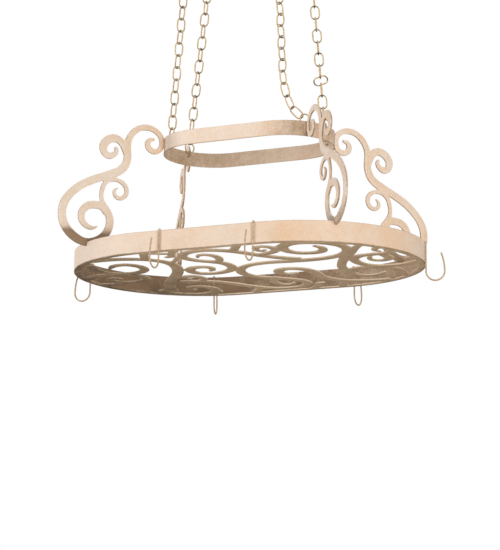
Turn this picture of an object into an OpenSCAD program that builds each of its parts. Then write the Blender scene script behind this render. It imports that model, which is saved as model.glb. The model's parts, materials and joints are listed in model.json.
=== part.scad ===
// Hanging pot rack: a large flat-bar oval with a scrolled grid in its floor, a small
// flat-bar oval above it on four scrolled brackets, four chains up to ceiling screw
// hooks, and six loose wire hooks on the lower rim. Millimetres, +Z up. The origin is
// on the ceiling, above the middle of the rack, and +X runs along the long way.

/* [Lower oval] */
// Length over the lower oval
ring_l = 914; // [860:1:980]
// Width over the lower oval
ring_w = 610; // [580:1:640]
// Height of the lower band
ring_h = 51; // [40:1:60]
// Thickness of both bands
band_t = 3; // [2.5:0.1:4]

/* [Grid] */
// Thickness of the scrolled grid plate
grid_t = 3; // [2:0.1:5]
// Width of the plain border round the grid
border_w = 14; // [10:1:20]
// Clearance between the grid's edge and the band it is welded into
weld_gap = 0.2; // [0.1:0.05:0.4]

/* [Upper oval] */
// Length over the upper oval
top_l = 457; // [440:1:480]
// Width over the upper oval
top_w = 254; // [246:1:262]
// Height of the upper band
top_h = 38; // [30:1:44]
// Height of the upper band's lower edge over the lower band's lower edge
top_rise = 311; // [305:1:318]

/* [Brackets] */
// Thickness of the scrolled bracket plates
plate_t = 5; // [4:0.1:7]
// Angles of the four brackets from the long axis, round the ends of the lower oval
plate_angles = [54.5, 49.5, 56, 54.5]; // [48:0.5:60]
// How far each bracket's plane passes beside the end centre, towards the middle
plate_offs = [0, 20, 0, 0]; // [0:1:24]

/* [Chains] */
// Numbers of links in the four chains
links = [13, 14, 13, 13]; // [12:1:16]
// Length over one chain link
link_l = 40; // [38:0.5:42]
// Width over one chain link
link_w = 25.5; // [24:0.5:28]
// Wire diameter of the chain links
link_d = 3.6; // [3:0.1:4]
// Play between two pieces that hang in each other
play = 0.35; // [0.2:0.05:0.4]
// Diameter over a connector ring
conn_w = 30; // [28:0.5:34]
// Wire diameter of a connector ring
conn_d = 3.5; // [3:0.1:4]
// Wire diameter of the eyes inside the upper band
eye_d = 4; // [3.5:0.1:4.5]
// Angles of the four eyes from the long axis, round the ends of the upper oval
eye_angles = [50, 42, 33, 50]; // [30:1:54]

/* [Ceiling hooks] */
// Distances of the four ceiling screws from the middle, along the length
stud_x = [148, 117, 152, 143]; // [100:1:180]
// Wire diameter of the ceiling hooks
screw_d = 5; // [4.5:0.1:6]
// Radius of the ceiling hooks, to the middle of the wire
screw_r = 11; // [10:0.5:14]
// Least length of straight neck under the ceiling
screw_neck = 18; // [12:1:40]
// Length of the screw above the ceiling
screw_l = 30; // [20:1:40]

/* [Pot hooks] */
// Wire diameter of the pot hooks
hook_d = 4; // [3:0.1:5]
// Width of the open side of a pot hook, between wire middles
hook_w = 46; // [40:1:56]
// Depth of a pot hook's lowest wire middle below the lower band
hook_below = 45; // [38:1:60]
// Height of the tip of a pot hook over the lower band's lower edge
hook_tip = 24; // [0:1:30]
// Length of the short leg inside the band
hook_inner = 22; // [15:1:30]
// Distances of the two near hooks from the left and right ends of the straight side
hook_near_in = [55, 2]; // [0:1:120]
// Angles of the far-left and left-end hooks, round the left end
hook_left_angles = [105, 178]; // [92:1:200]
// Angles of the far-right and right-end hooks, round the right end
hook_right_angles = [86, 12]; // [-20:1:88]

/* [Hidden] */

$fn = 48;
cream = [0.89, 0.81, 0.71];
tan_cream = [0.84, 0.71, 0.55];

// The four corners, in the order of the values in eye_angles and stud_x
near_left = 0;
near_right = 1;
far_left = 2;
far_right = 3;
side_x = [-1, 1, -1, 1];
side_y = [-1, -1, 1, 1];
// Direction of each corner's bracket and of its eye, as an angle about +Z
function corner_angle(c, a) = side_x[c] > 0 ? side_y[c] * a : 180 - side_y[c] * a;

ring_r = ring_w / 2;
ring_half = (ring_l - ring_w) / 2;
top_r = top_w / 2;
top_half = (top_l - top_w) / 2;
top_z = top_rise + top_h;

// ---------- curves with a varying width ----------
// A stroke is a list of [x, y, half width]; a smooth curve runs through its points.
function between(a, b, c, d, t) =
    0.5 * (2 * b + (c - a) * t + (2 * a - 5 * b + 4 * c - d) * t * t + (3 * b - a - 3 * c + d) * t * t * t);
function smooth(p, n) = [
    for (i = [0:len(p) - 2]) for (j = [0:n - 1])
        between(p[max(i - 1, 0)], p[i], p[i + 1], p[min(i + 2, len(p) - 1)], j / n),
    p[len(p) - 1]
];
function heading(p, i) =
    let (d = p[min(i + 1, len(p) - 1)] - p[max(i - 1, 0)])
    [d[0], d[1]] / norm([d[0], d[1]]);
function offset_point(p, i, side) =
    let (h = heading(p, i))
    [p[i][0] - side * h[1] * p[i][2], p[i][1] + side * h[0] * p[i][2]];
function outline(p) = concat(
    [for (i = [0:len(p) - 1]) offset_point(p, i, 1)],
    [for (i = [len(p) - 1:-1:0]) offset_point(p, i, -1)]
);

module stroke(p, n) {
    polygon(outline(smooth(p, n)));
}

// Rounds the crotches where strokes meet
crotch_r = 2;
module blended() {
    offset(r = -crotch_r, $fn = 16)
        offset(delta = crotch_r)
            children();
}

// ---------- flat-bar ovals ----------
module oval_band(half, r, t, h) {
    for (s = [-1, 1])
        translate([s * half, 0, 0])
            rotate([0, 0, -90 * s])
                rotate_extrude(angle = 180, $fn = 180)
                    translate([r - t, 0])
                        square([t, h]);
    for (s = [-1, 1])
        translate([-half, s > 0 ? r - t : -r, 0])
            cube([2 * half, t, h]);
}

module oval_face(half, r) {
    for (s = [-1, 1])
        translate([s * half, 0])
            circle(r, $fn = 180);
    translate([-half, -r])
        square([2 * half, 2 * r]);
}

module lower_oval() {
    color(cream)
        oval_band(ring_half, ring_r, band_t, ring_h);
}

module upper_oval() {
    color(cream)
        translate([0, 0, top_rise])
            oval_band(top_half, top_r, band_t, top_h);
}

// ---------- grid ----------
// Strokes of the scrolled grid, each [x, y, half width] in the plane of the floor. They
// are drawn for an oval of this length and width and stretch with the real one.
grid_drawn = [914, 610];
grid_strokes = [
    // left end: from the border, round the left loop and into its curl
    [[-440, -40, 14], [-402, -70, 14], [-352, -74, 14], [-312, -62, 13], [-290, -34, 12],
     [-288, -4, 12], [-300, 22, 12], [-330, 35, 12], [-362, 34, 12], [-384, 16, 12],
     [-388, -8, 11], [-376, -25, 9], [-359, -22, 7], [-353, -8, 4]],
    [[-362, 34, 12], [-400, 44, 13], [-440, 40, 15]],
    // big lower left loop
    [[-345, -205, 14], [-357, -150, 14], [-354, -108, 13], [-330, -80, 13], [-290, -68, 13],
     [-252, -86, 12], [-234, -118, 12], [-236, -152, 12], [-256, -175, 12], [-285, -174, 10],
     [-306, -158, 7], [-319, -142, 3]],
    // long band down the left
    [[-300, 190, 13], [-288, 140, 14], [-264, 92, 15], [-235, 45, 15], [-205, 5, 15],
     [-174, -45, 15], [-154, -90, 15], [-144, -130, 14], [-146, -165, 13], [-160, -195, 12],
     [-185, -220, 12], [-222, -238, 13], [-265, -246, 13], [-315, -244, 13]],
    // its tie to the border and the small curl beside it
    [[-178, -216, 11], [-165, -250, 11], [-148, -288, 11]],
    [[-140, -148, 6], [-116, -180, 6], [-88, -216, 7]],
    [[-122, -222, 4], [-108, -226, 8], [-96, -240, 9], [-88, -258, 9], [-76, -276, 10],
     [-62, -294, 12]],
    [[-150, -285, 8], [-122, -272, 7], [-92, -256, 7]],
    // S scroll left of the middle, on into the branch up to the wave
    [[-92, -27, 4], [-80, -38, 8], [-73, -58, 9], [-80, -76, 11], [-98, -82, 12],
     [-120, -75, 13], [-136, -52, 13], [-138, -22, 13], [-122, 0, 12], [-90, 6, 12],
     [-60, -3, 12], [-35, -22, 13], [-20, -48, 13], [-15, -80, 13], [-20, -108, 13],
     [-38, -132, 13], [-62, -155, 12], [-78, -185, 12], [-78, -215, 12], [-62, -243, 12],
     [-35, -260, 12], [0, -265, 13], [32, -255, 13], [60, -232, 13], [82, -202, 13],
     [98, -172, 13], [118, -142, 13], [145, -112, 14], [180, -85, 13]],
    // lower curl of the S scroll
    [[-24, -124, 10], [-8, -150, 10], [-1, -180, 10], [-6, -206, 10], [-22, -218, 9],
     [-38, -211, 6], [-48, -192, 3]],
    // tie under the branch
    [[60, -222, 11], [76, -250, 11], [92, -275, 11], [104, -298, 11]],
    // wave along the middle, on into the big right spiral
    [[38, 135, 13], [10, 112, 13], [-12, 88, 13], [-25, 55, 13], [-25, 20, 13],
     [-10, -18, 12], [14, -47, 11], [48, -66, 12], [90, -73, 13], [140, -70, 15],
     [190, -67, 15], [240, -72, 14], [280, -88, 13], [306, -111, 13], [323, -140, 13],
     [331, -170, 13], [328, -200, 13], [312, -230, 13], [285, -252, 13], [250, -263, 13],
     [222, -258, 13], [200, -241, 13], [189, -216, 13], [186, -190, 13], [194, -165, 12],
     [213, -148, 12], [238, -143, 12], [260, -151, 12], [273, -170, 11], [277, -195, 9],
     [268, -218, 5]],
    // small curl and tie under the wave
    [[105, -165, 11], [130, -176, 11], [154, -190, 11], [168, -215, 11], [165, -241, 10],
     [148, -256, 9], [130, -246, 9], [123, -222, 8], [132, -205, 6], [143, -218, 4]],
    [[188, -232, 13], [215, -262, 13], [248, -290, 13]],
    // long band down the right
    [[238, 112, 12], [234, 75, 12], [240, 40, 12], [256, 0, 12], [278, -45, 13],
     [300, -80, 13], [322, -112, 12], [346, -152, 10], [368, -182, 9], [392, -200, 9]],
    // right end: from the border, round the loop and into its curl
    [[440, 45, 14], [398, 68, 12], [350, 73, 12], [316, 58, 12], [297, 25, 12],
     [296, -15, 12], [306, -46, 12], [330, -68, 12], [365, -74, 12], [396, -75, 11],
     [420, -96, 11], [427, -125, 11], [413, -144, 9], [393, -137, 8], [384, -117, 6],
     [393, -98, 3]],
    [[384, -74, 12], [388, -42, 12], [384, -12, 12], [365, 3, 10], [346, 0, 8],
     [338, -20, 7], [343, -40, 6], [353, -55, 4]],
    // spiral right of the middle
    [[300, 242, 13], [265, 246, 13], [220, 238, 13], [185, 220, 13], [160, 195, 14],
     [146, 160, 14], [144, 130, 14], [148, 95, 14], [146, 60, 14], [130, 30, 14],
     [101, 17, 14], [74, 31, 14], [64, 60, 13], [75, 84, 11], [96, 86, 8], [107, 72, 4]],
    // far right loop, like the big lower left one turned about
    [[345, 205, 14], [357, 150, 14], [354, 108, 13], [330, 80, 13], [290, 68, 13],
     [252, 86, 12], [234, 118, 12], [236, 152, 12], [256, 175, 12], [285, 174, 10],
     [306, 158, 7], [319, 142, 3]],
    // far S scroll
    [[20, 108, 13], [38, 132, 13], [62, 155, 12], [78, 185, 12], [78, 215, 12], [62, 243, 12],
     [35, 260, 12], [0, 265, 13], [-32, 255, 13], [-60, 232, 13], [-82, 202, 13],
     [-98, 172, 13], [-118, 142, 13], [-145, 112, 14], [-180, 90, 13], [-225, 80, 13]],
    [[24, 124, 10], [8, 150, 10], [1, 180, 10], [6, 206, 10], [22, 218, 9], [38, 211, 6],
     [48, 192, 3]],
    [[-60, 222, 11], [-76, 250, 11], [-92, 275, 11], [-104, 298, 11]],
    // small spiral left of the middle
    [[-215, 92, 12], [-180, 90, 10], [-155, 72, 9], [-150, 42, 9], [-166, 18, 9],
     [-188, 22, 8], [-193, 42, 6], [-182, 56, 3]],
    // far left spiral
    [[-288, 140, 13], [-310, 170, 13], [-330, 178, 13], [-328, 205, 13], [-312, 232, 13],
     [-285, 252, 13], [-250, 263, 13], [-222, 258, 13], [-200, 241, 13], [-189, 216, 13],
     [-188, 190, 13], [-198, 168, 12], [-216, 158, 12], [-238, 162, 11], [-248, 182, 9],
     [-240, 200, 5]],
    [[-188, 232, 13], [-215, 262, 13], [-248, 290, 13]],
    [[178, 216, 11], [165, 250, 11], [148, 288, 11]],
    [[122, 222, 4], [108, 226, 8], [96, 240, 9], [88, 258, 9], [76, 276, 10], [62, 294, 12]],
];

function grid_point(p) = [p[0] * ring_l / grid_drawn[0], p[1] * ring_w / grid_drawn[1], p[2]];

module grid_plate() {
    r_edge = ring_r - band_t - weld_gap;
    color(tan_cream)
        linear_extrude(grid_t)
            blended() {
                difference() {
                    oval_face(ring_half, r_edge);
                    oval_face(ring_half, r_edge - border_w);
                }
                intersection() {
                    oval_face(ring_half, r_edge - border_w / 2);
                    union()
                        for (s = grid_strokes)
                            stroke([for (p = s) grid_point(p)], 2);
                }
            }
}

// ---------- brackets ----------
// Strokes in the plane of one bracket: [distance from the end centre of the lower oval,
// height over the lower band's lower edge, half width]. They are drawn between a lower
// band's outer face and upper edge and an upper band's outer face and lower edge at the
// places below, and stretch to where the real bands are.
drawn_rim = [305, 51];
drawn_top = [91, 311];
bracket_strokes = [
    // top curl, arch, neck, the long bow down to the rim and back up to the middle curl
    [[120, 341, 3], [132, 339, 5], [139, 329, 7], [136, 317, 7.5], [123, 309.5, 7],
     [108, 313, 6.5], [98.5, 326, 7], [98.5, 342, 7], [106, 357, 7], [122, 367, 7],
     [141, 370, 7.5], [161, 366, 7.5], [178, 354, 8], [190, 338, 8], [196, 320, 9],
     [197, 303, 10.5], [195.5, 287, 10], [198, 271, 10], [206, 256, 10.5], [219, 244.5, 10.5],
     [236, 236, 10.5], [262, 225, 10], [290, 213, 10], [318, 198, 10], [340, 181, 10],
     [357, 163, 10], [369, 142, 10.5], [373, 118, 10.5], [368, 94, 11], [354, 74, 11],
     [335, 60, 11], [316, 52.5, 10], [298, 51.5, 10], [280, 57, 10], [263, 67, 10],
     [249.5, 82, 10], [242, 101, 10], [242, 119, 10], [248, 135, 9], [257, 149, 7],
     [264, 162, 5.5], [266.5, 177, 5], [264, 192, 5.5], [259, 205, 5.5], [250, 215, 5.5],
     [238, 220.5, 5.5], [222, 220.5, 5], [207, 214.5, 5.5], [198, 204, 5.5],
     [196, 191.5, 5.5], [201, 181, 5.5], [210, 175, 5], [221, 175, 5], [229, 181.5, 4.5],
     [230.5, 190.5, 4], [226, 197, 2.5], [221, 200, 1]],
    // lower curl
    [[250, 132, 9], [263, 147, 10], [281, 149.5, 9.5], [300, 146, 9.5], [314, 135, 9],
     [320.5, 120, 9], [318, 105, 8], [308, 94.5, 7], [295, 89.5, 5.5], [284, 90.5, 3.5],
     [276, 94.5, 1.5]],
    // outer curl beside the neck
    [[198, 292, 9], [206, 312, 10], [219, 325, 9.5], [233, 328.5, 10], [248, 324, 10.5],
     [260, 313, 10.5], [264.5, 300, 10], [260.5, 287.5, 9], [250, 281, 8.5], [239, 283, 7.5],
     [229.5, 290, 6], [227, 299, 5], [231, 306, 3]],
];

// Distances from the lower oval's end centre to both bands, along the plane of a bracket
end_gap = ring_half - top_half;
function rim_reach(c) = sqrt(pow(ring_r, 2) - pow(plate_offs[c], 2));
function top_reach_in(c) =
    sqrt(pow(top_r, 2) - pow(end_gap * sin(plate_angles[c]) - plate_offs[c], 2))
        - end_gap * cos(plate_angles[c]);
function bracket_stretch(c) = [
    (rim_reach(c) - top_reach_in(c)) / (drawn_rim[0] - drawn_top[0]),
    (top_rise - ring_h) / (drawn_top[1] - drawn_rim[1])
];
function bracket_point(p, c) = [
    rim_reach(c) + (p[0] - drawn_rim[0]) * bracket_stretch(c)[0],
    ring_h + (p[1] - drawn_rim[1]) * bracket_stretch(c)[1],
    p[2]
];

module bracket(c) {
    color(cream)
        difference() {
            translate([side_x[c] * ring_half, 0, 0])
                rotate([0, 0, corner_angle(c, plate_angles[c])])
                    translate([0, side_x[c] * side_y[c] * plate_offs[c], 0])
                        rotate([90, 0, 0])
                            translate([0, 0, -plate_t / 2])
                                linear_extrude(plate_t)
                                    blended()
                                        for (s = bracket_strokes)
                                            stroke([for (p = s) bracket_point(p, c)], 2);
            // slot over the lower band
            translate([side_x[c] * ring_half, 0, 0])
                difference() {
                    cylinder(h = ring_h, r = ring_r + weld_gap, $fn = 180);
                    cylinder(h = ring_h, r = ring_r - band_t - weld_gap, $fn = 180);
                }
            // the inner end is ground to the upper band that it is welded to
            translate([side_x[c] * top_half, 0, top_rise - top_h])
                cylinder(h = 3 * top_h, r = top_r + weld_gap, $fn = 180);
        }
}

// ---------- wire work ----------
// An arc of wire in the XZ plane about the origin, from angle a over sweep s.
module wire_arc(r, d, a, s) {
    rotate([90, 0, 0])
        rotate([0, 0, a])
            rotate_extrude(angle = s, $fn = 72)
                translate([r, 0])
                    circle(d = d, $fn = 24);
}

module wire(d, l) {
    cylinder(h = l, d = d, $fn = 24);
}

// ---------- chain gear ----------
eye_r = 6.5;            // middle radius of an eye's round end
eye_leg = 8;            // length of an eye's two straight legs
eye_mid_z = top_z - 8;  // middle height of the eyes
eye_hang = top_r - band_t - weld_gap / 2 - eye_leg; // radius of the middle of an eye's round end

conn_r = (conn_w - conn_d) / 2;
conn_z = eye_mid_z + eye_r - eye_d / 2 - conn_d / 2 - play + conn_r;
link_reach = link_l - link_d;                        // between the wire middles of a link
link_r = (link_w - link_d) / 2;                      // middle radius of a link's round ends
conn_reach = conn_r - (conn_d + link_d) / 2 - play;  // from ring middle to link wire
function eye_turn(c) = corner_angle(c, eye_angles[c]);

function conn_at(c) = [
    side_x[c] * (top_half + eye_hang * cos(eye_angles[c])),
    side_y[c] * eye_hang * sin(eye_angles[c]),
    conn_z
];

module eye(c) {
    color(cream)
        translate([side_x[c] * top_half, 0, eye_mid_z])
            rotate([0, 0, eye_turn(c)])
                translate([eye_hang, 0, 0]) {
                    wire_arc(eye_r, eye_d, 90, 180);
                    for (s = [-1, 1])
                        translate([0, 0, s * eye_r])
                            rotate([0, 90, 0])
                                wire(eye_d, eye_leg);
                }
}

module connector(c) {
    color(tan_cream)
        translate(conn_at(c))
            rotate([0, 0, eye_turn(c) + 90])
                rotate([90, 0, 0])
                    rotate_extrude($fn = 72)
                        translate([conn_r, 0])
                            circle(d = conn_d, $fn = 24);
}

// How far round its connector ring each chain pulls, from the top
pulls = [0, 72, 0, 0];
// Ways [turn from the ring's plane, tilt] of the lowest links of the slack chain
kinks = [[], [[0, 50], [20, 36], [16, 20], [-58, 5]], [], []];
// Turn of each chain about its own line
twists = [10, 25, 38, -25];
// One link of the last chain has caught on its side and leans a little
side_links = [-1, -1, -1, 4];
side_tilt = 18;

function way(c, k) =
    let (az = eye_turn(c) - 90 + k[0])
    [sin(k[1]) * cos(az), sin(k[1]) * sin(az), cos(k[1])];
half_play = (link_d + play) / 2; // from the middle of a joint to either wire
side_reach = 2 * (link_r - 2 * half_play) / cos(side_tilt) + 4 * half_play;
function reach_of(c, k) = k == side_links[c] ? side_reach : link_reach;
function chain_start(c) = conn_at(c) + conn_reach * way(c, [0, pulls[c]]);
function link_way(c, k) = k < len(kinks[c]) ? way(c, kinks[c][k]) : straight_way(c);
function link_turn(c, k) = eye_turn(c) + twists[c] + 90 * (k % 2);
// Foot of link k, which is the middle of its lower wire
function foot(c, k) =
    k == 0 ? chain_start(c)
    : foot(c, k - 1) + (reach_of(c, k - 1) - half_play) * link_way(c, k - 1)
        - half_play * link_way(c, k);
// The straight run goes from the last kinked link, or the connector, to the ceiling hook
top_reach = link_reach - (screw_d + link_d) / 2 - play; // from a link's foot to the hook wire
function sum(v, i = 0) = i < len(v) ? v[i] + sum(v, i + 1) : 0;
function run_start(c) =
    let (m = len(kinks[c]))
    m == 0 ? chain_start(c)
    : foot(c, m - 1) + (reach_of(c, m - 1) - half_play) * link_way(c, m - 1);
function run_length(c) =
    let (m = len(kinks[c]))
    sum([for (k = [m:links[c] - 2]) reach_of(c, k) - 2 * half_play])
        + top_reach - (m > 0 ? half_play : 0);
function hook_turn(c) = link_turn(c, links[c] - 1) - 90;
// Each chain's top is straight over its eye across the rack, so that all four swing alike
function stud_at(c) = [side_x[c] * stud_x[c], conn_at(c)[1] + screw_bend * sin(hook_turn(c))];
function straight_way(c) =
    let (
        start = run_start(c),
        dx = stud_at(c)[0] - screw_bend * cos(hook_turn(c)) - start[0],
        dy = stud_at(c)[1] - screw_bend * sin(hook_turn(c)) - start[1],
        dz = sqrt(pow(run_length(c), 2) - dx * dx - dy * dy)
    )
    [dx, dy, dz] / run_length(c);
function chain_top(c) = foot(c, links[c] - 1) + top_reach * link_way(c, links[c] - 1);

screw_bend = 5; // middle radius of the bend from the hook into its neck
drop = ceil(max([for (c = [0:3]) chain_top(c)[2]]) + 2 * screw_r + screw_bend + screw_neck);

// Link with round ends and straight sides, standing on its foot
module chain_link() {
    translate([0, 0, link_r])
        wire_arc(link_r, link_d, 180, 180);
    translate([0, 0, link_reach - link_r])
        wire_arc(link_r, link_d, 0, 180);
    for (s = [-1, 1])
        translate([s * link_r, 0, link_r])
            wire(link_d, link_reach - 2 * link_r);
}

module along(v) {
    az = atan2(v[1], v[0]);
    rotate([0, 0, az])
        rotate([0, acos(v[2]), 0])
            rotate([0, 0, -az])
                children();
}

module chain(c) {
    color(tan_cream)
        for (k = [0:links[c] - 1])
            translate(foot(c, k))
                along(link_way(c, k))
                    rotate([0, 0, link_turn(c, k)])
                        if (k == side_links[c])
                            translate([0, 0, side_reach / 2])
                                rotate([0, 90 - side_tilt, 0])
                                    translate([0, 0, -link_reach / 2])
                                        chain_link();
                        else
                            chain_link();
}

// Screw hook round the top link; its neck stands off by the radius of its bend
screw_tip = 8;
collar_d = 12;
collar_h = 2;

module ceiling_hook(c) {
    at = chain_top(c);
    ceiling = drop - at[2];
    color(cream)
        translate(at)
            rotate([0, 0, hook_turn(c)]) {
                translate([0, 0, screw_r])
                    wire_arc(screw_r, screw_d, 90, 300);
                translate([0, 0, 2 * screw_r + screw_bend])
                    wire_arc(screw_bend, screw_d, -90, 90);
                translate([screw_bend, 0, 2 * screw_r + screw_bend])
                    wire(screw_d, ceiling + screw_l - screw_tip - 2 * screw_r - screw_bend);
                translate([screw_bend, 0, ceiling + screw_l - screw_tip])
                    cylinder(h = screw_tip, d1 = screw_d, d2 = 1, $fn = 24);
                translate([screw_bend, 0, ceiling - collar_h])
                    cylinder(h = collar_h, d = collar_d, $fn = 36);
            }
}

// ---------- pot hooks ----------
// A hook in the XZ plane: X = 0 is the band's outer face, Z = 0 its lower edge.
rim_bend = hook_d / 2 + play;
prong_r = 130; // middle radius of the prong, which leans in a little

module hook_wire() {
    u_r = hook_w / 2;
    u_z = u_r - hook_below;
    translate([-band_t - rim_bend, 0, ring_h - hook_inner])
        wire(hook_d, hook_inner);
    translate([-band_t, 0, ring_h])
        wire_arc(rim_bend, hook_d, 90, 90);
    translate([-band_t, 0, ring_h + rim_bend])
        rotate([0, 90, 0])
            wire(hook_d, band_t);
    translate([0, 0, ring_h])
        wire_arc(rim_bend, hook_d, 0, 90);
    translate([rim_bend, 0, u_z])
        wire(hook_d, ring_h - u_z);
    translate([rim_bend + u_r, 0, u_z])
        wire_arc(u_r, hook_d, 180, 180);
    translate([rim_bend + 2 * u_r - prong_r, 0, u_z])
        wire_arc(prong_r, hook_d, 0, asin((hook_tip - u_z) / prong_r));
}

// Hook on the rim at angle a about the point x on the long axis
module pot_hook(x, a) {
    color(cream)
        translate([x, 0, 0])
            rotate([0, 0, a])
                translate([ring_r, 0, 0])
                    hook_wire();
}

// Everything hangs below the ceiling.
module hung() {
    translate([0, 0, -drop])
        children();
}

hung() lower_oval();
hung() grid_plate();
hung() upper_oval();
hung() bracket(near_left);  // bracket_near_left
hung() bracket(near_right);  // bracket_near_right
hung() bracket(far_left);  // bracket_far_left
hung() bracket(far_right);  // bracket_far_right
hung() eye(near_left);  // eye_near_left
hung() eye(near_right);  // eye_near_right
hung() eye(far_left);  // eye_far_left
hung() eye(far_right);  // eye_far_right
hung() connector(near_left);  // connector_near_left
hung() connector(near_right);  // connector_near_right
hung() connector(far_left);  // connector_far_left
hung() connector(far_right);  // connector_far_right
hung() chain(near_left);  // chain_near_left
hung() chain(near_right);  // chain_near_right
hung() chain(far_left);  // chain_far_left
hung() chain(far_right);  // chain_far_right
hung() ceiling_hook(near_left);  // ceiling_hook_near_left
hung() ceiling_hook(near_right);  // ceiling_hook_near_right
hung() ceiling_hook(far_left);  // ceiling_hook_far_left
hung() ceiling_hook(far_right);  // ceiling_hook_far_right
hung() pot_hook(hook_near_in[0] - ring_half, -90);  // pot_hook_near_left
hung() pot_hook(ring_half - hook_near_in[1], -90);  // pot_hook_near_right
hung() pot_hook(-ring_half, hook_left_angles[0]);  // pot_hook_far_left
hung() pot_hook(ring_half, hook_right_angles[0]);  // pot_hook_far_right
hung() pot_hook(-ring_half, hook_left_angles[1]);  // pot_hook_left_end
hung() pot_hook(ring_half, hook_right_angles[1]);  // pot_hook_right_end
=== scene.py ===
# %% [markdown]
# # A hanging pot rack in sponged cream paint
# The real object is flame-cut and bent iron bar: a wide oval band with a scrolled plate in
# its floor, a small oval band held above it by four scrolled brackets, four chains up to
# screw hooks in a ceiling, and loose wire hooks over the rim. The solids and their joints
# come ready made as a fixed frame, in metres, with the ceiling at height zero. This file
# gives them their finish, and remakes the pieces whose edges or links need more care.

# %% Load the frame
import bmesh
import bpy
import json
import math
import numpy as np
from mathutils import Matrix, Vector


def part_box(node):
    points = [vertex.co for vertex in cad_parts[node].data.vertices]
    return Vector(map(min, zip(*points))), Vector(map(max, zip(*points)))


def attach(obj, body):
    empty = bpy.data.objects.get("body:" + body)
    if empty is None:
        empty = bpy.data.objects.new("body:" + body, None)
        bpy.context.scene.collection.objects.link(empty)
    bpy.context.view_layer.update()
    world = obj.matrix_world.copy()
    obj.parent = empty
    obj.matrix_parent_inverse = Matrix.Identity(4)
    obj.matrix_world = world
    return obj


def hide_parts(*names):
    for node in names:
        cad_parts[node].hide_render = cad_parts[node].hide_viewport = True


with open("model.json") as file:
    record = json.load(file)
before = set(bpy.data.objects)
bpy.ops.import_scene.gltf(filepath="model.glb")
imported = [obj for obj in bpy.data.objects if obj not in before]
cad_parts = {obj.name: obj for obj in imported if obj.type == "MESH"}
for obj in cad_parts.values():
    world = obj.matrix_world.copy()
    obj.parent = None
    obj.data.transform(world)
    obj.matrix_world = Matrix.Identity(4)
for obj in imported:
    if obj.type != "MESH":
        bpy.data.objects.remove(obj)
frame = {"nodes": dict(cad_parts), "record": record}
nodes = frame["nodes"]
scene = bpy.context.scene
scene.view_settings.view_transform = "Standard"
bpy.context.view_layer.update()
print("pieces in the frame:", len(nodes))

# %% [markdown]
# ## Camera
# The rack hangs overhead, so the eye is below the big oval, about four and a half metres
# away, and looks slightly up at its right-hand end. A long lens keeps the two ovals from
# spreading. The turn is written as three angles: tilt, roll and heading.

# %% Camera
camera = bpy.data.objects.new("camera", bpy.data.cameras.new("camera"))
scene.collection.objects.link(camera)
scene.camera = camera
camera.data.sensor_fit = "VERTICAL"
camera.data.sensor_height = 36
camera.data.lens = 116.6
camera.location = (1.803, -4.043, -1.695)
camera.rotation_euler = (math.radians(100.91), math.radians(-0.47), math.radians(23.86))
print("camera", [round(v, 3) for v in camera.location])

# %% [markdown]
# ## Studio
# The room is left out. A wide pale floor lies a room's height below the ceiling line and
# a white surround is seen only by the camera and in reflections, so it adds no light. The
# light itself is a large soft lamp to the front and left, a slightly stronger and warmer one
# on the right, a weak one overhead, and a dim, slightly warm sky that keeps the shadows
# open. The floor throws back a dull brown light, which the camera doesn't see in its colour.

# %% Floor and white surround
floor_height = -2.45
floor_reach = 9.0


def light_path_is(tree, *kinds):
    """1 where the ray is any of the kinds, such as 'Is Camera Ray'."""
    path = tree.nodes.new("ShaderNodeLightPath")
    total = None
    for kind in kinds:
        if total is None:
            total = path.outputs[kind]
        else:
            add = tree.nodes.new("ShaderNodeMath")
            add.operation = "MAXIMUM"
            tree.links.new(total, add.inputs[0])
            tree.links.new(path.outputs[kind], add.inputs[1])
            total = add.outputs[0]
    return total


world = bpy.data.worlds.new("studio")
scene.world = world
world.use_nodes = True
sky = world.node_tree
sky.nodes.clear()
sky_out = sky.nodes.new("ShaderNodeOutputWorld")
sky_mix = sky.nodes.new("ShaderNodeMixShader")
sky_light = sky.nodes.new("ShaderNodeBackground")
sky_seen = sky.nodes.new("ShaderNodeBackground")
sky_light.inputs["Color"].default_value = (1.0, 0.97, 0.93, 1)
sky_light.inputs["Strength"].default_value = 0.20
sky_seen.inputs["Color"].default_value = (1, 1, 1, 1)
sky_seen.inputs["Strength"].default_value = 1.0
sky_is_seen = light_path_is(sky, "Is Camera Ray", "Is Glossy Ray", "Is Transmission Ray")
sky.links.new(sky_is_seen, sky_mix.inputs[0])
sky.links.new(sky_light.outputs[0], sky_mix.inputs[1])
sky.links.new(sky_seen.outputs[0], sky_mix.inputs[2])
sky.links.new(sky_mix.outputs[0], sky_out.inputs[0])

floor_mesh = bpy.data.meshes.new("floor")
square = ((-1, -1), (1, -1), (1, 1), (-1, 1))
floor_mesh.from_pydata(
    [(x * floor_reach, y * floor_reach, floor_height) for x, y in square], [], [(0, 1, 2, 3)])
floor = bpy.data.objects.new("floor", floor_mesh)
scene.collection.objects.link(floor)
floor_finish = bpy.data.materials.new("floor_pale")
floor_finish.use_nodes = True
floor_tree = floor_finish.node_tree
floor_bsdf = floor_tree.nodes["Principled BSDF"]
floor_shade = floor_tree.nodes.new("ShaderNodeMix")
floor_shade.data_type = "RGBA"
floor_shade.inputs["A"].default_value = (0.36, 0.27, 0.17, 1)
floor_shade.inputs["B"].default_value = (0.86, 0.85, 0.83, 1)
floor_tree.links.new(light_path_is(floor_tree, "Is Camera Ray"), floor_shade.inputs["Factor"])
floor_tree.links.new(floor_shade.outputs["Result"], floor_bsdf.inputs["Base Color"])
floor_bsdf.inputs["Roughness"].default_value = 0.9
floor_mesh.materials.append(floor_finish)
print("floor at", floor_height)

# %% Lamps


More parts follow.
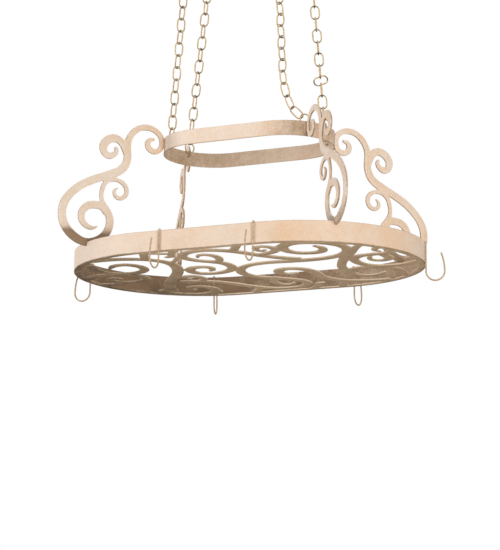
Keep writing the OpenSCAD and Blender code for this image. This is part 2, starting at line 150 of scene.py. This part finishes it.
def soft_lamp(name, place, target, size, watts, colour):
    """A square area lamp at a place, facing a target."""
    lamp = bpy.data.lights.new(name, "AREA")
    lamp.size = size
    lamp.energy = watts
    lamp.color = colour
    holder = bpy.data.objects.new(name, lamp)
    scene.collection.objects.link(holder)
    holder.location = place
    holder.rotation_euler = (Vector(target) - Vector(place)).to_track_quat("-Z", "Y").to_euler()


rack_middle = (0, 0, -0.65)
for name, place, size, watts, colour in (
        ("left_lamp", (-3.4, -3.1, -1.0), 2.2, 122, (1.0, 0.98, 0.98)),
        ("right_lamp", (3.6, -2.9, -1.1), 2.2, 134, (1.0, 0.955, 0.905)),
        ("top_lamp", (0.4, 1.2, 2.2), 2.0, 45, (1.0, 0.98, 0.95))):
    soft_lamp(name, place, rack_middle, size, watts, colour)

# %% [markdown]
# ## Sponged paint
# The iron is painted in two coats: a pale ground, then a tan glaze dabbed on with a sponge,
# so it shows soft blotches with fine speckle inside them. Two sizes of noise, speckle and
# dabs, make that mask. Two wider ones, clouds and gather, let the tan drift in places, as a
# hand would. Where more glaze is left, and where shade is painted in, the same dabs turn a
# deep brown. The effect is one shader group, and each material sets its own colours and
# amounts. It puts out the colour, the roughness and the height of the dabs.

# %% Shader group for the sponged glaze


def link_math(tree, kind, a, b, clamp=False):
    """A math node of that kind on two numbers or sockets, and its result."""
    node = tree.nodes.new("ShaderNodeMath")
    node.operation = kind
    node.use_clamp = clamp
    for slot, value in zip(node.inputs, (a, b)):
        if isinstance(value, (int, float)):
            slot.default_value = value
        else:
            tree.links.new(value, slot)
    return node.outputs[0]


def plus(tree, a, b, clamp=False):
    return link_math(tree, "ADD", a, b, clamp)


def minus(tree, a, b, clamp=False):
    return link_math(tree, "SUBTRACT", a, b, clamp)


def times(tree, a, b, clamp=False):
    return link_math(tree, "MULTIPLY", a, b, clamp)


def larger(tree, a, b):
    return link_math(tree, "MAXIMUM", a, b)


def noise(tree, place, size, detail, rough):
    """Noise whose blobs are about the given size in metres."""
    node = tree.nodes.new("ShaderNodeTexNoise")
    node.inputs["Scale"].default_value = 1 / size
    node.inputs["Detail"].default_value = detail
    node.inputs["Roughness"].default_value = rough
    tree.links.new(place, node.inputs["Vector"])
    return node.outputs["Fac"]


def stretch(tree, value, low, high):
    """The value spread from low..high to 0..1, with a soft shoulder."""
    node = tree.nodes.new("ShaderNodeMapRange")
    node.interpolation_type = "SMOOTHSTEP"
    node.inputs["From Min"].default_value = low
    node.inputs["From Max"].default_value = high
    tree.links.new(value, node.inputs["Value"])
    return node.outputs["Result"]


def blend(tree, fac, a, b):
    """The colour a, turning to b as fac goes from 0 to 1."""
    node = tree.nodes.new("ShaderNodeMix")
    node.data_type = "RGBA"
    tree.links.new(fac, node.inputs["Factor"])
    tree.links.new(a, node.inputs["A"])
    tree.links.new(b, node.inputs["B"])
    return node.outputs["Result"]


glaze = bpy.data.node_groups.new("sponged_glaze", "ShaderNodeTree")
for name, kind, value in [("Ground", "NodeSocketColor", (0.8, 0.7, 0.6, 1)),
                          ("Glaze", "NodeSocketColor", (0.6, 0.45, 0.3, 1)),
                          ("Deep", "NodeSocketColor", (0.3, 0.2, 0.1, 1)),
                          ("Amount", "NodeSocketFloat", 0.5),
                          ("Drift", "NodeSocketFloat", 0.5),
                          ("Gathered", "NodeSocketFloat", 0.0)]:
    socket = glaze.interface.new_socket(name=name, in_out="INPUT", socket_type=kind)
    socket.default_value = value
for name, kind in [("Color", "NodeSocketColor"), ("Roughness", "NodeSocketFloat"),
                   ("Height", "NodeSocketFloat")]:
    glaze.interface.new_socket(name=name, in_out="OUTPUT", socket_type=kind)
glaze_in = glaze.nodes.new("NodeGroupInput")
glaze_out = glaze.nodes.new("NodeGroupOutput")
place = glaze.nodes.new("ShaderNodeTexCoord").outputs["Object"]
speckle = stretch(glaze, noise(glaze, place, 0.0045, 2, 0.6), 0.38, 0.62)
dabs = stretch(glaze, noise(glaze, place, 0.014, 4, 0.7), 0.36, 0.66)
clouds = stretch(glaze, noise(glaze, place, 0.06, 3, 0.6), 0.34, 0.68)
gather = stretch(glaze, noise(glaze, place, 0.30, 1, 0.5), 0.34, 0.66)
fine = plus(glaze, times(glaze, speckle, 0.6), times(glaze, dabs, 0.4))
dabbed = times(glaze, fine, glaze_in.outputs["Amount"])
wide = plus(glaze, times(glaze, clouds, 0.35), times(glaze, gather, 0.65))
drifted = times(glaze, wide, glaze_in.outputs["Drift"])
mask = plus(glaze, dabbed, drifted, clamp=True)
sponged_colour = blend(glaze, mask, glaze_in.outputs["Ground"], glaze_in.outputs["Glaze"])
# The deep colour's input carries both real glaze and painted shade, as each material feeds it.
broken = plus(glaze, times(glaze, plus(glaze, clouds, fine), 0.4), 0.35)
deepened = times(glaze, broken, glaze_in.outputs["Gathered"], clamp=True)
deep_colour = blend(glaze, deepened, sponged_colour, glaze_in.outputs["Deep"])
glaze.links.new(deep_colour, glaze_out.inputs["Color"])
roughness = plus(glaze, times(glaze, dabs, 0.14), 0.46)
glaze.links.new(roughness, glaze_out.inputs["Roughness"])
glaze.links.new(plus(glaze, times(glaze, speckle, 0.5), dabs), glaze_out.inputs["Height"])
print("glaze group nodes:", len(glaze.nodes))

# %% [markdown]
# The deep brown is laid on more heavily inside the two ovals, partly as glaze and partly as
# painted shade, and along the edges of the flat bar, partly glaze and partly painted shade.
# Both places can be told from the distance to the oval's middle line and from the height, so
# a second group works them out from the bar's own sizes. It also puts out Along, from 0 at
# the left end to 1 at the right, and Rise, the height over the foot in metres.

# %% Shader group for the places of glaze and painted shade on a flat-bar oval
oval_zones = bpy.data.node_groups.new("oval_zones", "ShaderNodeTree")
for name in ("Half", "Radius", "Bar", "Foot", "Height"):
    oval_zones.interface.new_socket(name=name, in_out="INPUT", socket_type="NodeSocketFloat")
for name in ("Inside", "Edge", "Along", "Rise"):
    oval_zones.interface.new_socket(name=name, in_out="OUTPUT", socket_type="NodeSocketFloat")
zones_in = oval_zones.nodes.new("NodeGroupInput")
zones_out = oval_zones.nodes.new("NodeGroupOutput")
where = oval_zones.nodes.new("ShaderNodeSeparateXYZ")
oval_zones.links.new(oval_zones.nodes.new("ShaderNodeTexCoord").outputs["Object"], where.inputs[0])
along_x = link_math(oval_zones, "ABSOLUTE", where.outputs["X"], 0)
past_end = larger(oval_zones, minus(oval_zones, along_x, zones_in.outputs["Half"]), 0)
aside = where.outputs["Y"]
reach_squared = plus(oval_zones, times(oval_zones, past_end, past_end),
                     times(oval_zones, aside, aside))
reach = link_math(oval_zones, "SQRT", reach_squared, 0)
inward = minus(oval_zones, zones_in.outputs["Radius"], reach)
depth = link_math(oval_zones, "DIVIDE", inward, zones_in.outputs["Bar"])
oval_zones.links.new(stretch(oval_zones, depth, 0.3, 0.9), zones_out.inputs["Inside"])
rise = minus(oval_zones, where.outputs["Z"], zones_in.outputs["Foot"])
oval_zones.links.new(rise, zones_out.inputs["Rise"])
fall = minus(oval_zones, zones_in.outputs["Height"], rise)
# The lower edge takes the full deep colour and the top edge half: partly glaze caught there,
# partly painted shade.
low_edge = minus(oval_zones, 1, stretch(oval_zones, rise, 0.0006, 0.0030))
off_top = stretch(oval_zones, fall, 0.0004, 0.0022)
high_edge = minus(oval_zones, 0.5, times(oval_zones, off_top, 0.5))
oval_zones.links.new(larger(oval_zones, low_edge, high_edge), zones_out.inputs["Edge"])
half_length = plus(oval_zones, zones_in.outputs["Half"], zones_in.outputs["Radius"])
end_to_end = link_math(oval_zones, "DIVIDE", where.outputs["X"], half_length)
oval_zones.links.new(stretch(oval_zones, end_to_end, -1.0, 1.0), zones_out.inputs["Along"])
print("oval group nodes:", len(oval_zones.nodes))

# %% [markdown]
# ## Materials
# Every painted piece takes the same group with its own three colours. The bands and brackets
# are the palest, and the brackets' ground is lighter still as painted light, making up for the
# lamps reaching their faces less. The floor plate carries more tan. The chain is antiqued gold,
# darker where its links bear on each other, partly glaze and partly painted contact shadow,
# and the pot hooks are a browner wire, partly for painted shade along their thin wires.

# %% Painted finishes


def sponged(name, ground, tan, deep, amount, drift, bump=0.0002):
    """A painted metal finish. bump is the height of the dabs in metres."""
    finish = bpy.data.materials.new(name)
    finish.use_nodes = True
    tree = finish.node_tree
    bsdf = tree.nodes["Principled BSDF"]
    group = tree.nodes.new("ShaderNodeGroup")
    group.name = "glaze"
    group.node_tree = glaze
    group.inputs["Ground"].default_value = (*ground, 1)
    group.inputs["Glaze"].default_value = (*tan, 1)
    group.inputs["Deep"].default_value = (*deep, 1)
    group.inputs["Amount"].default_value = amount
    group.inputs["Drift"].default_value = drift
    tree.links.new(group.outputs["Color"], bsdf.inputs["Base Color"])
    tree.links.new(group.outputs["Roughness"], bsdf.inputs["Roughness"])
    relief = tree.nodes.new("ShaderNodeBump")
    relief.inputs["Distance"].default_value = bump
    relief.inputs["Strength"].default_value = 0.6
    tree.links.new(group.outputs["Height"], relief.inputs["Height"])
    tree.links.new(relief.outputs["Normal"], bsdf.inputs["Normal"])
    bsdf.inputs["Specular IOR Level"].default_value = 0.35
    return finish


# The deep umber and sienna below serve for real glaze and for painted shade alike.
cream = (0.87, 0.775, 0.69)
tan = (0.82, 0.58, 0.385)
deep_umber_and_shade = (0.30, 0.20, 0.12)
pale_cream = (0.93, 0.85, 0.775)
deep_sienna_and_shade = (0.50, 0.33, 0.18)
paints = {  # ground, glaze, deep glaze, amount of sponging, drift of the tan
    "grid_paint": ((0.97, 0.85, 0.68), (0.74, 0.56, 0.37), (0.17, 0.11, 0.065), 0.5, 0.25),
    # The brackets' ground is lighter than the bands': painted light making up for the lamps
    # reaching their faces less.
    "scroll_paint": ((0.97, 0.89, 0.81), (0.86, 0.60, 0.38), deep_umber_and_shade, 0.42, 0.50),
    "eye_paint": ((0.74, 0.60, 0.44), (0.45, 0.31, 0.18), deep_umber_and_shade, 0.6, 0.3),
    "chain_paint": ((0.90, 0.75, 0.48), (0.55, 0.37, 0.16), (0.06, 0.04, 0.02), 0.75, 0.3),
    "ceiling_hook_paint": ((0.78, 0.65, 0.46), (0.52, 0.38, 0.21), deep_umber_and_shade, 0.5, 0.15),
    # The pot hooks' ground is darkened partly as painted shade, taking in the brown shaded side of
    # their thin wires.
    "pot_hook_paint": ((0.74, 0.58, 0.41), (0.36, 0.23, 0.12), deep_umber_and_shade, 0.65, 0.25),
}
finishes = {slot: sponged(slot, *paint) for slot, paint in paints.items()}
band_bar = 0.003
band_sponging = 0.42


def oval_finish(name, node, ground, deep, inside, edge, drift, fade, patch):
    """Sponged cream for one flat-bar oval, darker inside it and on its edges with glaze and
    painted shade.

    inside and edge are the amounts of deep colour there, glaze and painted shade together. drift
    is the tan's share at the two ends of the long way, and fade is how much the deep colour
    inside the band, largely painted shade, lessens towards the right-hand end, which the light
    reaches more. patch is the glaze that is dabbed on the outer face at that end.
    """
    finish = sponged(name, ground, tan, deep, band_sponging, drift[0])
    low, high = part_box(node)
    tree = finish.node_tree
    zones = tree.nodes.new("ShaderNodeGroup")
    zones.node_tree = oval_zones
    zones.inputs["Radius"].default_value = (high[1] - low[1]) / 2
    zones.inputs["Half"].default_value = (high[0] - low[0] - high[1] + low[1]) / 2
    zones.inputs["Bar"].default_value = band_bar
    zones.inputs["Foot"].default_value = low[2]
    zones.inputs["Height"].default_value = high[2] - low[2]
    along = zones.outputs["Along"]
    drifting = plus(tree, times(tree, along, drift[1] - drift[0]), drift[0])
    tree.links.new(drifting, tree.nodes["glaze"].inputs["Drift"])
    # Inside the band the deep colour is partly glaze and partly painted shade, lessening to the
    # right, where more light reaches.
    inside_fading = minus(tree, inside, times(tree, along, inside * fade))
    inner = times(tree, zones.outputs["Inside"], inside_fading)
    edges = times(tree, zones.outputs["Edge"], edge)
    outside = minus(tree, 1, zones.outputs["Inside"])
    patched = times(tree, outside, times(tree, stretch(tree, along, 0.72, 1.0), patch))
    glaze_and_shade_share = larger(tree, larger(tree, inner, edges), patched)
    tree.links.new(glaze_and_shade_share, tree.nodes["glaze"].inputs["Gathered"])
    return finish


finishes["band_paint"] = oval_finish(
    "lower_band_paint", "lower_oval", cream, deep_umber_and_shade,
    inside=1.9, edge=0.9, drift=(0.22, 0.85), fade=0.65, patch=0.0)
upper_band = oval_finish(
    "upper_band_paint", "upper_oval", pale_cream, deep_sienna_and_shade,
    inside=0.8, edge=0.6, drift=(0.12, 0.6), fade=0.95, patch=0.75)

# %% More deep colour on the floor, the brackets and the chain, as glaze and painted shade
rim_half = 0.152
rim_radius = 0.305


def rim_zones(tree):
    """The oval group in a material's tree, set to the lower oval."""
    zones = tree.nodes.new("ShaderNodeGroup")
    zones.node_tree = oval_zones
    zones.inputs["Half"].default_value = rim_half
    zones.inputs["Radius"].default_value = rim_radius
    return zones


# The floor is darkest at its left end: painted shade, where the light reaches it least
grid_tree = finishes["grid_paint"].node_tree
grid_zones = rim_zones(grid_tree)
painted_left_shade = minus(grid_tree, 1, times(grid_tree, grid_zones.outputs["Along"], 3.0), clamp=True)
grid_tree.links.new(painted_left_shade, grid_tree.nodes["glaze"].inputs["Gathered"])

# The flame leaves a bracket's cut edge rough, and it takes more glaze. Its foot just over the rim
# is darker, more so on the left: painted shade where the rim keeps the light off
scroll_tree = finishes["scroll_paint"].node_tree
foot_shade = 0.048
cut = scroll_tree.nodes.new("ShaderNodeAttribute")
cut.attribute_name = "cut"
scroll_zones = rim_zones(scroll_tree)
scroll_zones.inputs["Foot"].default_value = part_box("lower_oval")[1][2]
over_rim = stretch(scroll_tree, scroll_zones.outputs["Rise"], 0.0, foot_shade)
to_the_left = minus(scroll_tree, 2.6, times(scroll_tree, scroll_zones.outputs["Along"], 1.8))
painted_foot_shade = times(scroll_tree, minus(scroll_tree, 1, over_rim), to_the_left)
on_cut = times(scroll_tree, cut.outputs["Fac"], 0.8)
scroll_tree.links.new(larger(scroll_tree, painted_foot_shade, on_cut),
                      scroll_tree.nodes["glaze"].inputs["Gathered"])

# The chain darkens where two links bear on each other, partly antique glaze and partly painted
# contact shadow: the link mesh carries it
chain_tree = finishes["chain_paint"].node_tree
contact_glaze_and_shade = chain_tree.nodes.new("ShaderNodeAttribute")
contact_glaze_and_shade.attribute_name = "contact_glaze_and_shade"
chain_tree.links.new(contact_glaze_and_shade.outputs["Fac"], chain_tree.nodes["glaze"].inputs["Gathered"])
print("finishes:", sorted(finishes))

# %% Paint every piece of the frame
slot_of = {p["node"]: p["material_slot"] for p in frame["record"]["subparts"]}


def dress(piece, finish):
    """The piece wears one finish on every slot."""
    if not piece.data.materials:
        piece.data.materials.append(finish)
    for material_slot in piece.material_slots:
        material_slot.material = finish


for name, piece in nodes.items():
    dress(piece, upper_band if name == "upper_oval" else finishes[slot_of[name]])
print("painted:", len(nodes))

# %% [markdown]
# ## Cut plates
# The floor plate and the brackets are cut from sheet with a flame, so their outlines flow
# and their edges are eased by grinding and paint. The solids carry the outlines as short
# straight runs. Here each outline is read back from its solid, curved through its points,
# filled as a flat curve, and given thickness with a small round edge. A flat curve is the
# right tool because it fills holes by itself and rounds every edge evenly.

# %% Read the outline of a plate
corners = ("near_left", "near_right", "far_left", "far_right")
same_point = 0.00001
flat_side = 0.0004
shortest_run = 0.0015


def plate_axes(piece):
    """The plate's own axes: across, up and out of its flat side, with the offset of its middle."""
    biggest = {}
    for polygon in piece.data.polygons:
        n = polygon.normal
        key = (round(n.x, 2), round(n.y, 2), round(n.z, 2))
        biggest.setdefault(key, [0.0, Vector(), 0.0])
        biggest[key][0] += polygon.area
        biggest[key][1] += n * polygon.area
        biggest[key][2] += polygon.area * n.dot(polygon.center)
    area, total, reach = max(biggest.values(), key=lambda v: v[0])
    out = total.normalized()
    up = Vector((0, 0, 1)) if abs(out.z) < 0.9 else Vector((0, 1, 0))
    up = (up - out * up.dot(out)).normalized()
    across = up.cross(out)
    return across, up, out, reach / area


def plate_outlines(piece, out, level):
    """The closed loops that bound the flat side at that level, as lists of points."""
    shape = bmesh.new()
    shape.from_mesh(piece.data)
    bmesh.ops.remove_doubles(shape, verts=shape.verts, dist=same_point)
    flat = [f for f in shape.faces if f.normal.dot(out) > 0.99
            and abs(f.calc_center_median().dot(out) - level) < flat_side]
    chosen = set(flat)
    follow = {}
    for face in flat:
        for corner in face.loops:
            if sum(other in chosen for other in corner.edge.link_faces) == 1:
                after = corner.link_loop_next.vert.index
                follow[corner.vert.index] = (after, corner.vert.co.copy())
    loops = []
    while follow:
        loop = []
        at = next(iter(follow))
        while at in follow:
            after, point = follow.pop(at)
            loop.append(point)
            at = after
        loops.append(loop)
    shape.free()
    return loops


def flowing(loop, corner_degrees, rounds=2):
    """The loop with new points between its own on a four-point curve; sharp corners stay."""
    for _ in range(rounds):
        n = len(loop)
        sharp = []
        for i in range(n):
            a = loop[i] - loop[i - 1]
            b = loop[(i + 1) % n] - loop[i]
            bends = a.length > 0 and b.length > 0 and a.angle(b) > math.radians(corner_degrees)
            sharp.append(bends)
        new = []
        for i in range(n):
            p, q = loop[i], loop[(i + 1) % n]
            before = loop[i - 1] if not sharp[i] else p * 2 - q
            after = loop[(i + 2) % n] if not sharp[(i + 1) % n] else q * 2 - p
            new.append(p)
            if (q - p).length > shortest_run:
                new.append((p + q) * 0.5625 - (before + after) * 0.0625)
        loop = new
    return loop


# %% Build a plate with eased edges


def evaluated_mesh(source):
    """The mesh that a curve or a modified object comes out as."""
    bpy.context.view_layer.update()
    final = source.evaluated_get(bpy.context.evaluated_depsgraph_get())
    return bpy.data.meshes.new_from_object(final)


def cut_plate(name, node, thickness, ease, corner_degrees):
    """Remakes one plate node with flowing outlines and a rounded edge.

    The face attribute "cut" is 1 on the edge and 0 on the two flat sides.
    """
    piece = nodes[node]
    across, up, out, level = plate_axes(piece)
    loops = [flowing(loop, corner_degrees) for loop in plate_outlines(piece, out, level)]
    curve = bpy.data.curves.new(name, "CURVE")
    curve.dimensions = "2D"
    curve.fill_mode = "BOTH"
    curve.extrude = thickness / 2 - ease
    curve.bevel_depth = ease
    curve.bevel_resolution = 1
    curve.offset = -ease
    for loop in loops:
        spline = curve.splines.new("POLY")
        spline.points.add(len(loop) - 1)
        for point, corner in zip(loop, spline.points):
            corner.co = (point.dot(across), point.dot(up), 0, 1)
        spline.use_cyclic_u = True
    flat = bpy.data.objects.new(name + "_flat", curve)
    scene.collection.objects.link(flat)
    shape = evaluated_mesh(flat)
    bpy.data.objects.remove(flat)
    turn = Matrix((across, up, out)).transposed().to_4x4()
    shape.transform(Matrix.Translation(out * (level - thickness / 2)) @ turn)
    tidy = bmesh.new()
    tidy.from_mesh(shape)
    bmesh.ops.remove_doubles(tidy, verts=tidy.verts, dist=same_point / 2)
    bmesh.ops.recalc_face_normals(tidy, faces=tidy.faces)
    tidy.to_mesh(shape)
    tidy.free()
    shape.shade_smooth()
    edge_faces = shape.attributes.new("cut", "FLOAT", "FACE")
    for polygon in shape.polygons:
        edge_faces.data[polygon.index].value = 1 - min(1.0, abs(polygon.normal.dot(out)) * 1.2)
    plate = bpy.data.objects.new(name, shape)
    scene.collection.objects.link(plate)
    shape.set_sharp_from_angle(angle=math.radians(50))
    dress(plate, finishes[slot_of[node]])
    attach(plate, "rack")
    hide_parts(node)
    print(name, "loops", len(loops), "faces", len(shape.polygons))


grid_thick, grid_ease = 0.003, 0.0005
bracket_thick, bracket_ease = 0.005, 0.0007
kept_corner = 55
cut_plate("floor_scrolls", "grid_plate", grid_thick, grid_ease, kept_corner)
for corner in corners:
    cut_plate("scroll_bracket_" + corner, "bracket_" + corner,
              bracket_thick, bracket_ease, kept_corner)

# %% [markdown]
# ## Chains
# A link is a piece of wire bent to an oval and butt welded in the middle of one side, where
# it bulges a little. All links are alike and only their places differ, so one link is drawn
# with Geometry Nodes and set on a guide point for each link of the solid chain, turned the
# way that the link lies. The points are found by splitting the solid into its links.

# %% Find the links of a solid chain


def links_of(node):
    """Middle, long way and flat way of each loose link in a chain's solid.

    Known fault: a link's points are gathered in no fixed order, so its flat way can point
    to either side from one run to the next, and the weld goes with it.
    """
    shape = bmesh.new()
    shape.from_mesh(nodes[node].data)
    bmesh.ops.remove_doubles(shape, verts=shape.verts, dist=same_point)
    found = []
    waiting = set(shape.verts)
    while waiting:
        island = set()
        front = [waiting.pop()]
        while front:
            vert = front.pop()
            island.add(vert)
            for edge in vert.link_edges:
                other = edge.other_vert(vert)
                if other in waiting:
                    waiting.discard(other)
                    front.append(other)
        cloud = np.array([v.co[:] for v in island])
        mean = cloud.mean(axis=0)
        axes = np.linalg.svd(cloud - mean, full_matrices=False)[2]
        spread = (cloud - mean) @ axes.T
        middle = mean + (spread.max(axis=0) + spread.min(axis=0)) / 2 @ axes
        long_way = axes[0] * (1 if axes[0][2] >= 0 else -1)
        found.append((middle, long_way, axes[2]))
    shape.free()
    found.sort(key=lambda link: link[0][2])
    return found


chain_links = {corner: links_of("chain_" + corner) for corner in corners}
print("links:", {corner: len(found) for corner, found in chain_links.items()})

# %% One welded link, set on every guide point


def new_node(tree, kind, **values):
    """A node with some of its properties set."""
    node = tree.nodes.new(kind)
    for name, value in values.items():
        setattr(node, name, value)
    return node


def add_inputs(tree, sockets):
    """The input and output nodes of a Geometry Nodes tree with these named inputs."""
    tree.interface.new_socket(name="Geometry", in_out="INPUT", socket_type="NodeSocketGeometry")
    tree.interface.new_socket(name="Geometry", in_out="OUTPUT", socket_type="NodeSocketGeometry")
    for name, kind in sockets:
        tree.interface.new_socket(name=name, in_out="INPUT", socket_type=kind)
    return tree.nodes.new("NodeGroupInput"), tree.nodes.new("NodeGroupOutput")


welded = bpy.data.node_groups.new("welded_links", "GeometryNodeTree")
link_in, link_out = add_inputs(welded, [
    ("Length", "NodeSocketFloat"), ("Width", "NodeSocketFloat"), ("Wire", "NodeSocketFloat"),
    ("Weld", "NodeSocketFloat"), ("Finish", "NodeSocketMaterial")])
mid_length = minus(welded, link_in.outputs["Length"], link_in.outputs["Wire"])
mid_width = minus(welded, link_in.outputs["Width"], link_in.outputs["Wire"])
block = new_node(welded, "GeometryNodeCurvePrimitiveQuadrilateral")
welded.links.new(mid_width, block.inputs["Width"])
welded.links.new(mid_length, block.inputs["Height"])
round_ends = new_node(welded, "GeometryNodeFilletCurve", mode="POLY")
round_ends.inputs["Limit Radius"].default_value = True
round_ends.inputs["Count"].default_value = 7
welded.links.new(block.outputs[0], round_ends.inputs["Curve"])
welded.links.new(times(welded, mid_width, 0.5), round_ends.inputs["Radius"])
even = new_node(welded, "GeometryNodeResampleCurve")
even.inputs["Count"].default_value = 56
welded.links.new(round_ends.outputs[0], even.inputs["Curve"])
at = new_node(welded, "ShaderNodeSeparateXYZ")
welded.links.new(new_node(welded, "GeometryNodeInputPosition").outputs[0], at.inputs[0])
off_middle = link_math(welded, "ABSOLUTE", at.outputs["Y"], 0)
near_weld = minus(welded, 1, stretch(welded, off_middle, 0.0008, 0.0032))
on_side = link_math(welded, "GREATER_THAN", at.outputs["X"], 0)
bead = times(welded, times(welded, near_weld, on_side), link_in.outputs["Weld"])
wire_half = times(welded, link_in.outputs["Wire"], 0.5)
section = new_node(welded, "GeometryNodeCurvePrimitiveCircle")
section.inputs["Resolution"].default_value = 12
section.inputs["Radius"].default_value = 1
sweep = new_node(welded, "GeometryNodeCurveToMesh")
welded.links.new(even.outputs[0], sweep.inputs["Curve"])
welded.links.new(times(welded, wire_half, plus(welded, bead, 1)), sweep.inputs["Scale"])
welded.links.new(section.outputs[0], sweep.inputs["Profile Curve"])
# Towards each end of a link the mesh stores how much darker it goes: antique glaze and painted
# contact shadow.
contact_mark = new_node(welded, "GeometryNodeStoreNamedAttribute", data_type="FLOAT", domain="POINT")
contact_mark.inputs["Name"].default_value = "contact_glaze_and_shade"
welded.links.new(sweep.outputs[0], contact_mark.inputs["Geometry"])
end_share = link_math(welded, "DIVIDE", off_middle, times(welded, mid_length, 0.5))
welded.links.new(stretch(welded, end_share, 0.70, 1.0), contact_mark.inputs["Value"])
turned = new_node(welded, "FunctionNodeAxesToRotation", primary_axis="Y", secondary_axis="Z")
for name, socket in (("long_way", 0), ("flat_way", 1)):
    way = new_node(welded, "GeometryNodeInputNamedAttribute", data_type="FLOAT_VECTOR")
    way.inputs["Name"].default_value = name
    welded.links.new(way.outputs[0], turned.inputs[socket])
set_out = new_node(welded, "GeometryNodeInstanceOnPoints")
welded.links.new(link_in.outputs["Geometry"], set_out.inputs["Points"])
welded.links.new(contact_mark.outputs[0], set_out.inputs["Instance"])
welded.links.new(turned.outputs[0], set_out.inputs["Rotation"])
real = new_node(welded, "GeometryNodeRealizeInstances")
smooth = new_node(welded, "GeometryNodeSetShadeSmooth")
painted = new_node(welded, "GeometryNodeSetMaterial")
welded.links.new(set_out.outputs[0], real.inputs[0])
welded.links.new(real.outputs[0], smooth.inputs["Geometry"])
welded.links.new(smooth.outputs[0], painted.inputs["Geometry"])
welded.links.new(link_in.outputs["Finish"], painted.inputs["Material"])
welded.links.new(painted.outputs[0], link_out.inputs[0])
print("link tree nodes:", len(welded.nodes))

# %% Make the four chains


def guide_mesh(name, found):
    """One point for each link, with its two ways kept as attributes."""
    guide = bpy.data.meshes.new(name)
    guide.from_pydata([tuple(middle) for middle, _, _ in found], [], [])
    for key, part in (("long_way", 1), ("flat_way", 2)):
        layer = guide.attributes.new(key, "FLOAT_VECTOR", "POINT")
        for i, link in enumerate(found):
            layer.data[i].vector = tuple(link[part])
    return guide


def grown(name, guide, tree, values):
    """A plain mesh object made by a Geometry Nodes tree on a guide mesh."""
    seed = bpy.data.objects.new(name + "_guide", guide)
    scene.collection.objects.link(seed)
    modifier = seed.modifiers.new("grow", "NODES")
    modifier.node_group = tree
    for item in tree.interface.items_tree:
        if item.in_out == "INPUT" and item.name in values:
            modifier[item.identifier] = values[item.name]
    mesh = evaluated_mesh(seed)
    bpy.data.objects.remove(seed)
    mesh.name = name
    piece = bpy.data.objects.new(name, mesh)
    scene.collection.objects.link(piece)
    return piece


link_values = {"Length": 0.040, "Width": 0.0255, "Wire": 0.0036, "Weld": 0.22,
               "Finish": finishes["chain_paint"]}
for corner, found in chain_links.items():
    name = "link_run_" + corner
    run = grown(name, guide_mesh(name, found), welded, link_values)
    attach(run, "hanger_" + corner)
    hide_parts("chain_" + corner)
    print(name, "faces", len(run.data.polygons))
